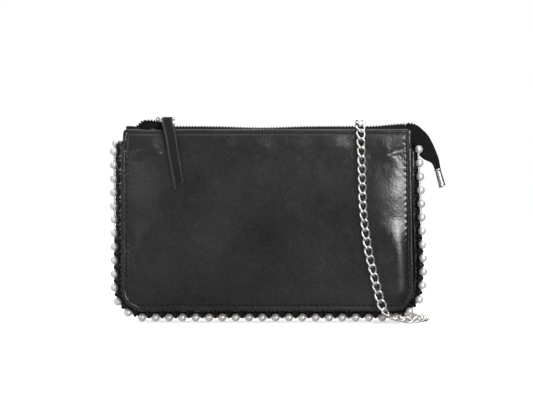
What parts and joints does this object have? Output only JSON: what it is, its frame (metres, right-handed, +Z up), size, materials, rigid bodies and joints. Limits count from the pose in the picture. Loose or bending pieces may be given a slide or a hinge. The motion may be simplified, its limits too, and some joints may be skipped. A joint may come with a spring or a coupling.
{
  "type": "chain wallet",
  "caption": "Flat zip-top clutch in glazed leather with a bead-trimmed gusset, a leather zip pull and a detachable curb-chain strap.",
  "frame": {"origin": "on the floor under the middle of the bottom row of beads, midway between the two panels", "axes": "+X along the zip from the slider to the tail, +Y from the front panel to the back panel, +Z up to the zip"},
  "size_m": [0.2346, 0.0938, 0.1436],
  "materials": {
    "panel_leather": "glazed crinkled black leather, high gloss",
    "gusset_leather": "glazed crinkled black leather, high gloss",
    "pull_leather": "black leather with polished cut edges",
    "board": "pressed leather board, hidden between leather and lining",
    "lining": "plain black woven lining",
    "zip_tape": "black woven zip tape",
    "zip_teeth": "black moulded teeth, satin",
    "silver_metal": "polished nickel plate",
    "bead_metal": "polished nickel plate",
    "chain_metal": "polished nickel-plated curb chain",
    "tie_cloth": "black tie"
  },
  "bodies": {
    "wallet": {"front_panel": "panel_leather", "back_panel": "panel_leather", "gusset": "gusset_leather", "front_board": "board", "back_board": "board", "front_lining": "lining", "back_lining": "lining", "gusset_lining": "lining", "slip_pocket": "lining", "beads": "bead_metal", "bead_rods": "bead_metal", "zip_tape_front": "zip_tape", "zip_tape_back": "zip_tape", "zip_teeth_front": "zip_teeth", "zip_teeth_back": "zip_teeth", "zip_loose_end_front": "zip_tape", "zip_loose_end_back": "zip_tape", "zip_tail": "zip_tape", "zip_end_cap": "silver_metal", "left_tab": "gusset_leather", "left_rivet": "silver_metal", "left_clasp": "silver_metal", "left_gate_pin": "silver_metal", "left_jump_ring": "silver_metal", "right_tab": "gusset_leather", "right_rivet": "silver_metal", "right_clasp": "silver_metal", "right_gate_pin": "silver_metal", "right_jump_ring": "silver_metal", "chain_run_right": "chain_metal", "chain_hank": "chain_metal", "chain_run_left": "chain_metal", "chain_tie": "tie_cloth"},
    "slider": {"slider_body": "silver_metal", "slider_crown": "silver_metal", "pull_pin": "silver_metal"},
    "bail": {"pull_bail": "silver_metal"},
    "pull": {"pull_strap": "pull_leather"},
    "left_loop": {"left_ring": "silver_metal"},
    "right_loop": {"right_ring": "silver_metal"},
    "left_trigger": {"left_gate": "silver_metal"},
    "right_trigger": {"right_gate": "silver_metal"}
  },
  "joints": [
    {"name": "slider_slide", "type": "slide", "parent": "wallet", "child": "slider", "axis": [1, 0, 0], "range_m": [0, 0.115]},
    {"name": "bail_swing", "type": "hinge", "parent": "slider", "child": "bail", "pos_m": [-0.0698, 0, 0.142], "axis": [-1, 0, 0], "range_deg": [0, 150]},
    {"name": "pull_swing", "type": "hinge", "parent": "bail", "child": "pull", "pos_m": [-0.0698, -0.008, 0.1412], "axis": [-1, 0, 0], "range_deg": [0, 100]},
    {"name": "left_ring_swing", "type": "hinge", "parent": "wallet", "child": "left_loop", "pos_m": [-0.084, 0.0162, 0.107], "axis": [1, 0, 0], "range_deg": [-4, 5]},
    {"name": "right_ring_swing", "type": "hinge", "parent": "wallet", "child": "right_loop", "pos_m": [0.084, 0.0162, 0.107], "axis": [1, 0, 0], "range_deg": [-4, 5]},
    {"name": "left_gate_press", "type": "hinge", "parent": "wallet", "child": "left_trigger", "pos_m": [-0.084, 0.0187, 0.0887], "axis": [1, 0, 0], "range_deg": [0, 18], "stiffness_Nm_per_rad": 0.01, "springref_deg": -28.65},
    {"name": "right_gate_press", "type": "hinge", "parent": "wallet", "child": "right_trigger", "pos_m": [0.084, 0.0187, 0.0887], "axis": [1, 0, 0], "range_deg": [0, 18], "stiffness_Nm_per_rad": 0.01, "springref_deg": -28.65}
  ]
}
